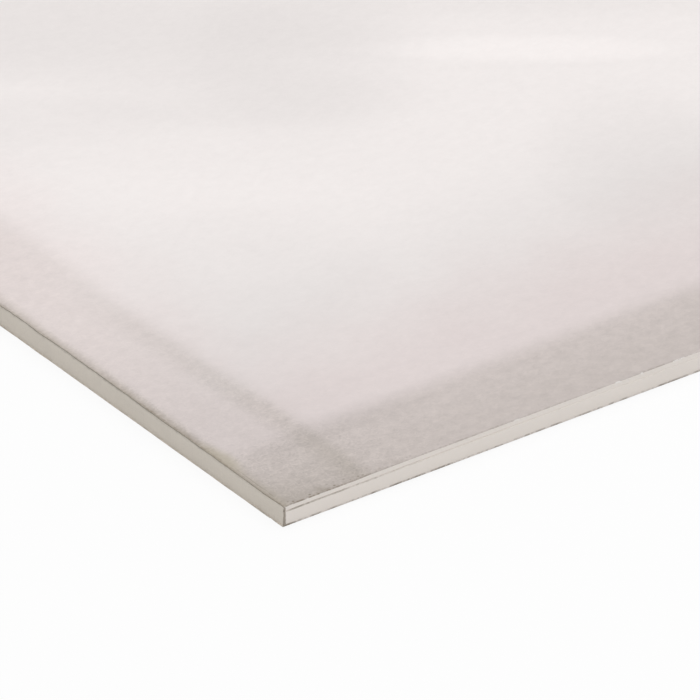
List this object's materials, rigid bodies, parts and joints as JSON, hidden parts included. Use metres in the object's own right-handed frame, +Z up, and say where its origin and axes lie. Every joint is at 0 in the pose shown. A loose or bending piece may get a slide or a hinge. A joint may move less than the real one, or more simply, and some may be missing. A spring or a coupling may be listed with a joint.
{
  "type": "drywall sheet",
  "caption": "Flat gypsum wallboard sheet: gypsum core between face and back paper, wrapped and tapered long edges, square-cut ends.",
  "frame": {"origin": "under the middle of the sheet, on the floor that its back lies on", "axes": "+X along the length, +Y across the width, +Z up, out of the face side"},
  "size_m": [2.4384, 1.2192, 0.0127],
  "materials": {
    "gypsum": "matt, porous foamed gypsum, square-cut at the ends",
    "face_paper": "matt off-white calendered paper with fine fibre mottling",
    "back_paper": "matt grey-brown recycled liner with flecks"
  },
  "bodies": {
    "root": {"gypsum_core": "gypsum", "face_paper": "face_paper", "back_paper": "back_paper"}
  },
  "joints": []
}
